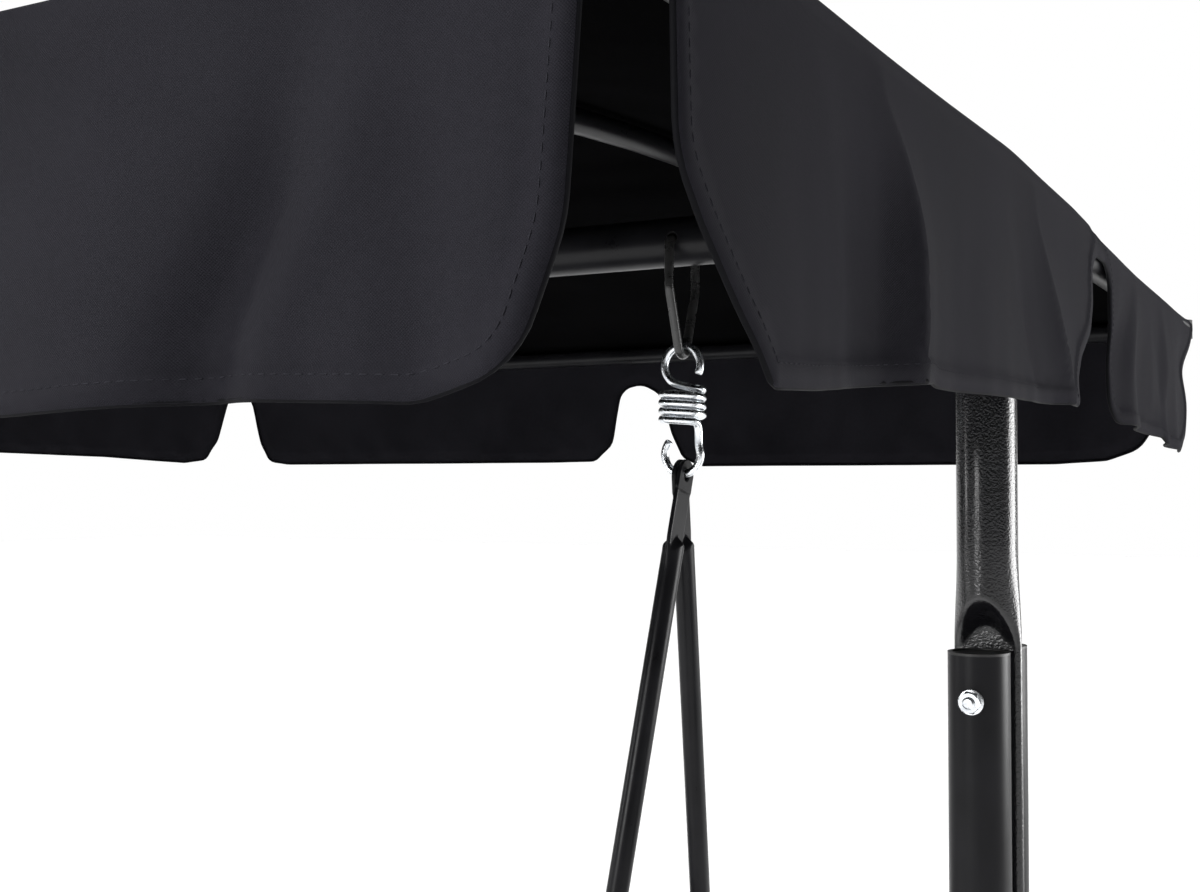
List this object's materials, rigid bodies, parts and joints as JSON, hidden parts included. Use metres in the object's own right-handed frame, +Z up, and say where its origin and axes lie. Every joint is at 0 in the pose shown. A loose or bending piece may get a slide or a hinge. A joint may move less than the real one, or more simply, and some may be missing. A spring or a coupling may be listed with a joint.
{
  "type": "canopy swing bench",
  "caption": "Garden swing bench with cushions, hung on coil springs under a tilting fabric canopy with notched valances, on an A-frame stand of black steel tube.",
  "frame": {"origin": "on the ground, under the middle of the bench and canopy", "axes": "+X to the right as seen from the front, +Y to the back, +Z up"},
  "size_m": [1.97, 1.26, 1.617],
  "materials": {
    "black_steel": "smooth satin black powder coat",
    "hammered_steel": "black hammered-texture paint",
    "coated_wire": "black plastic-coated wire",
    "zinc_steel": "bright zinc plating",
    "black_plastic": "moulded, fine grain",
    "canopy_cloth": "woven polyester, anthracite",
    "cushion_cloth": "woven polyester, anthracite, piped edges"
  },
  "bodies": {
    "stand": {"top_beam_left": "black_steel", "top_beam_right": "black_steel", "beam_splice": "black_steel", "beam_bolts": "zinc_steel", "left_corner_post": "hammered_steel", "right_corner_post": "hammered_steel", "left_front_upper_leg": "black_steel", "left_rear_upper_leg": "black_steel", "right_front_upper_leg": "black_steel", "right_rear_upper_leg": "black_steel", "left_front_lower_leg": "black_steel", "left_rear_lower_leg": "black_steel", "right_front_lower_leg": "black_steel", "right_rear_lower_leg": "black_steel", "left_front_foot": "black_plastic", "left_rear_foot": "black_plastic", "right_front_foot": "black_plastic", "right_rear_foot": "black_plastic", "leg_top_caps": "black_plastic", "post_bolts": "zinc_steel", "post_nuts": "zinc_steel", "frame_bolts": "zinc_steel", "left_side_brace": "black_steel", "right_side_brace": "black_steel", "rear_cross_bar": "black_steel", "left_hanger": "coated_wire", "right_hanger": "coated_wire", "hanger_bushings": "black_plastic"},
    "canopy": {"canopy_bolts": "zinc_steel", "canopy_pivot_spacers": "black_plastic", "canopy_front_rod": "black_steel", "canopy_rear_rod": "black_steel", "canopy_left_rod": "black_steel", "canopy_right_rod": "black_steel", "canopy_corner_joints": "black_plastic", "canopy_bows": "black_steel", "canopy_pivot_plates": "black_steel", "canopy_roof": "canopy_cloth", "front_valance": "canopy_cloth", "rear_valance": "canopy_cloth", "left_valance": "canopy_cloth", "right_valance": "canopy_cloth"},
    "left_knob": {"left_clamp_knob": "black_plastic"},
    "right_knob": {"right_clamp_knob": "black_plastic"},
    "springs": {"left_spring": "zinc_steel", "right_spring": "zinc_steel"},
    "bench": {"left_front_arm": "black_steel", "left_rear_arm": "black_steel", "right_front_arm": "black_steel", "right_rear_arm": "black_steel", "seat_frame": "black_steel", "backrest_frame": "black_steel", "backrest_spacers": "black_steel", "armrest_bars": "black_steel", "armrest_pads": "black_plastic", "bench_bolts": "zinc_steel", "seat_cushion": "cushion_cloth", "back_cushion": "cushion_cloth"}
  },
  "joints": [
    {"name": "canopy_tilt", "type": "hinge", "parent": "stand", "child": "canopy", "pos_m": [0, 0, 1.464], "axis": [1, 0, 0], "range_deg": [-15, 15]},
    {"name": "left_knob_turn", "type": "hinge", "parent": "canopy", "child": "left_knob", "pos_m": [-0.894, 0, 1.464], "axis": [1, 0, 0], "continuous": true},
    {"name": "right_knob_turn", "type": "hinge", "parent": "canopy", "child": "right_knob", "pos_m": [0.894, 0, 1.464], "axis": [1, 0, 0], "continuous": true},
    {"name": "swing", "type": "hinge", "parent": "stand", "child": "springs", "pos_m": [0, 0, 1.4819], "axis": [1, 0, 0], "range_deg": [-25, 25]},
    {"name": "bounce", "type": "slide", "parent": "springs", "child": "bench", "axis": [0, 0, 1], "range_m": [-0.012, 0], "stiffness_N_per_m": 30000, "springref_m": 0.015, "deforming": ["left_spring", "right_spring"]}
  ]
}
